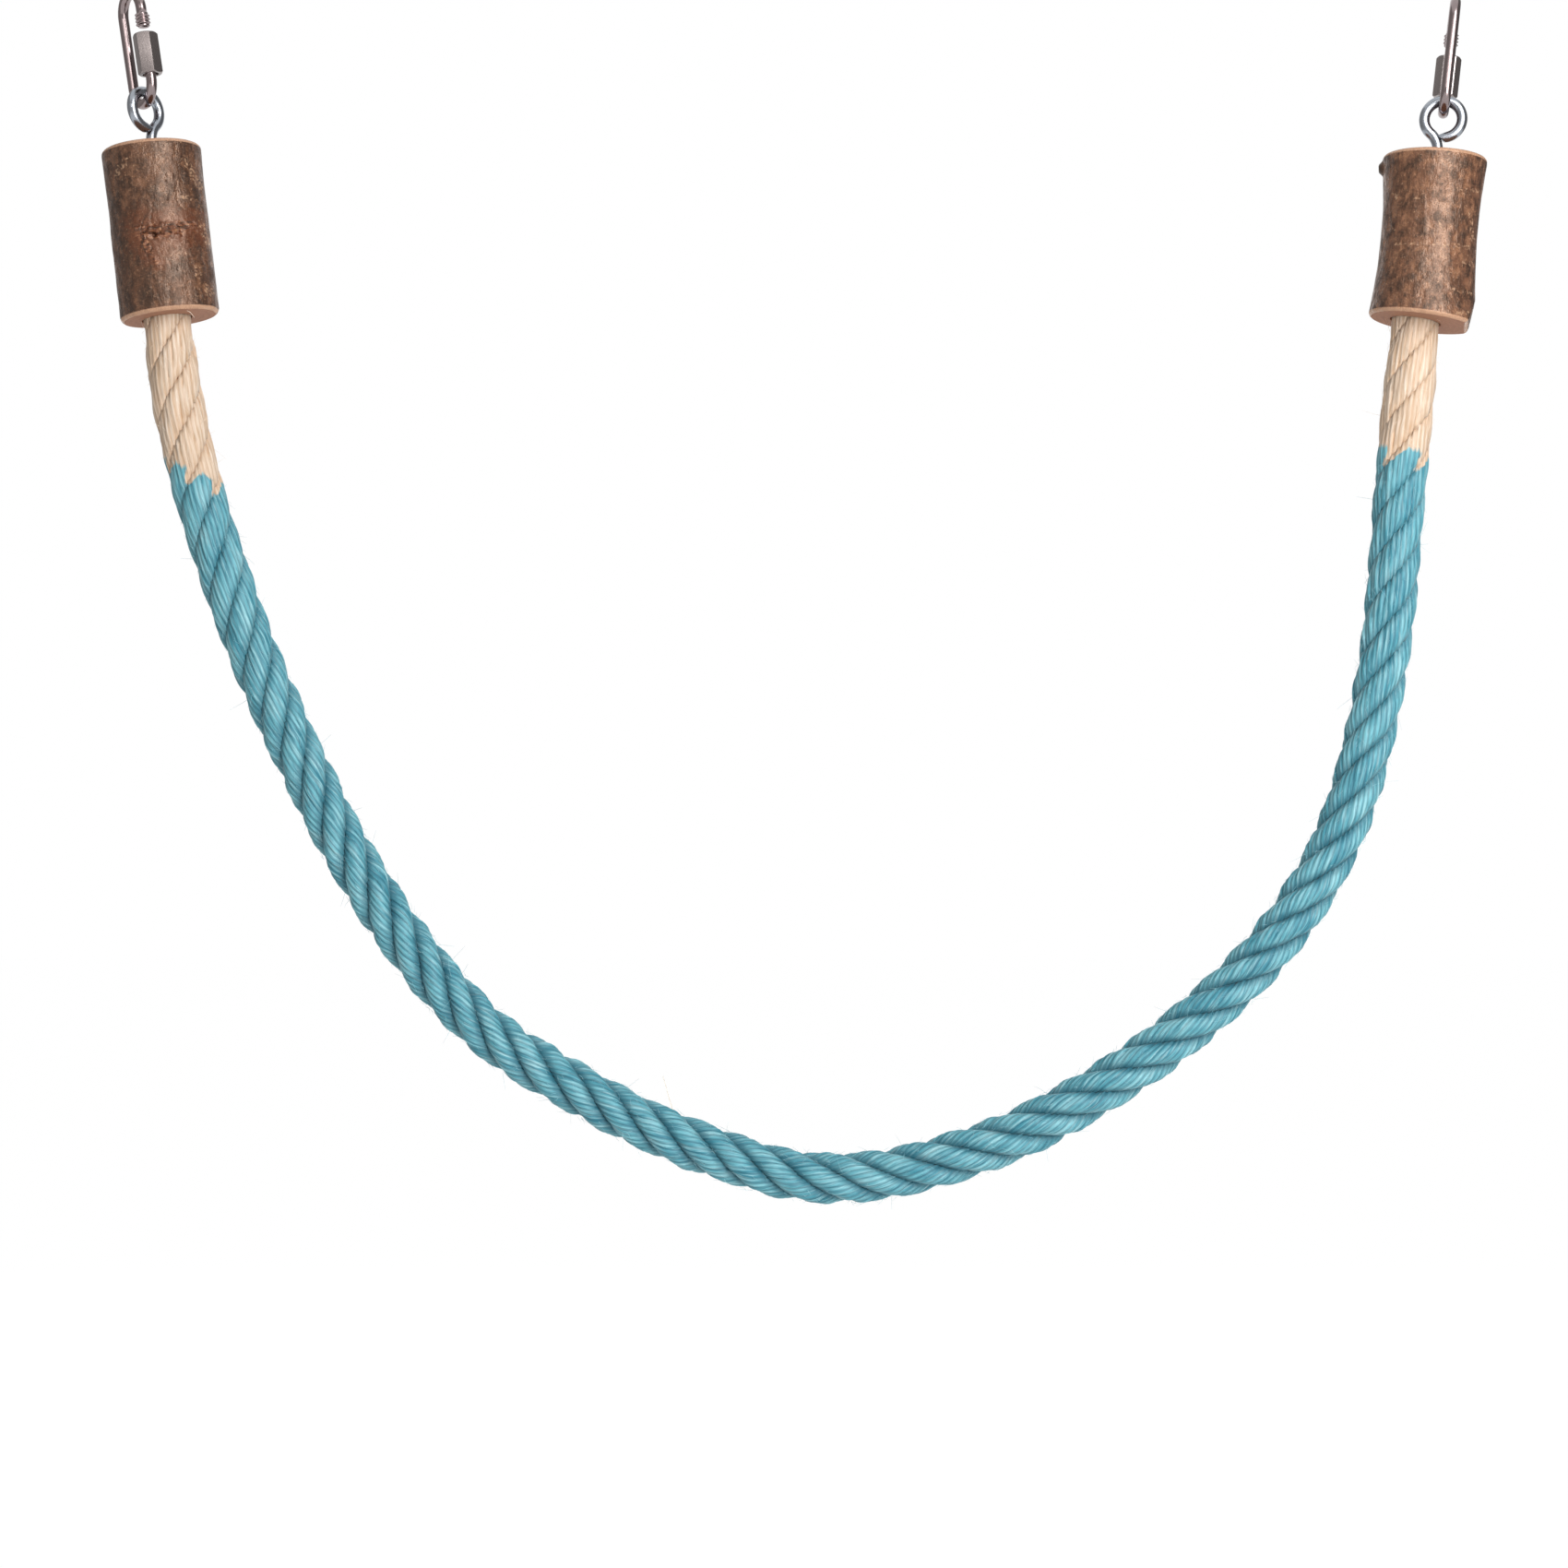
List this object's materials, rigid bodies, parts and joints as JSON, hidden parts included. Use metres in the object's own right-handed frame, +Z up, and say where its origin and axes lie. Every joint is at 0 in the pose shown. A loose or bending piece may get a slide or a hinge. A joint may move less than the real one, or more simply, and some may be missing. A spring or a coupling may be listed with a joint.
{
  "type": "bird rope swing",
  "caption": "Hanging bird swing: a thick laid rope, dyed between undyed ends, bows between branch blocks hung by screw eyes in quick links with sleeve nuts.",
  "frame": {"origin": "saddle of the left quick link: the inside of its top bow, where it hangs on what carries it", "axes": "+X from the left hanging point towards the right one, +Z up, +Y away from the viewer of the picture"},
  "size_m": [0.5262, 0.0392, 0.4623],
  "materials": {
    "stainless": "polished bar, brushed nut",
    "zinc": "bright zinc plate",
    "branch_wood": "sawn and sanded",
    "bark": "smooth young bark",
    "glue": "set wood glue",
    "undyed_rope": "coarse plant fibre",
    "dyed_rope": "coarse plant fibre, dyed"
  },
  "bodies": {
    "hangers": {"left_quick_link": "stainless", "right_quick_link": "stainless"},
    "left_nut": {"left_link_nut": "stainless"},
    "right_nut": {"right_link_nut": "stainless"},
    "swing": {"left_screw_eye": "zinc", "right_screw_eye": "zinc", "left_block_wood": "branch_wood", "left_block_bark": "bark", "left_glue": "glue", "right_block_wood": "branch_wood", "right_block_bark": "bark", "right_glue": "glue", "left_rope_end": "undyed_rope", "rope_span": "dyed_rope", "right_rope_end": "undyed_rope"}
  },
  "joints": [
    {"name": "swing_hang", "type": "hinge", "parent": "hangers", "child": "swing", "pos_m": [0.5002, 0, -0.03979], "axis": [1, -0.0006, -0.0033], "range_deg": [-20, 20]},
    {"name": "left_nut_travel", "type": "slide", "parent": "hangers", "child": "left_nut", "axis": [-0.1444, 0, 0.9895], "range_m": [0, 0.0072]},
    {"name": "right_nut_travel", "type": "slide", "parent": "hangers", "child": "right_nut", "axis": [0.1097, 0, 0.994], "range_m": [0, 0.0084]}
  ]
}
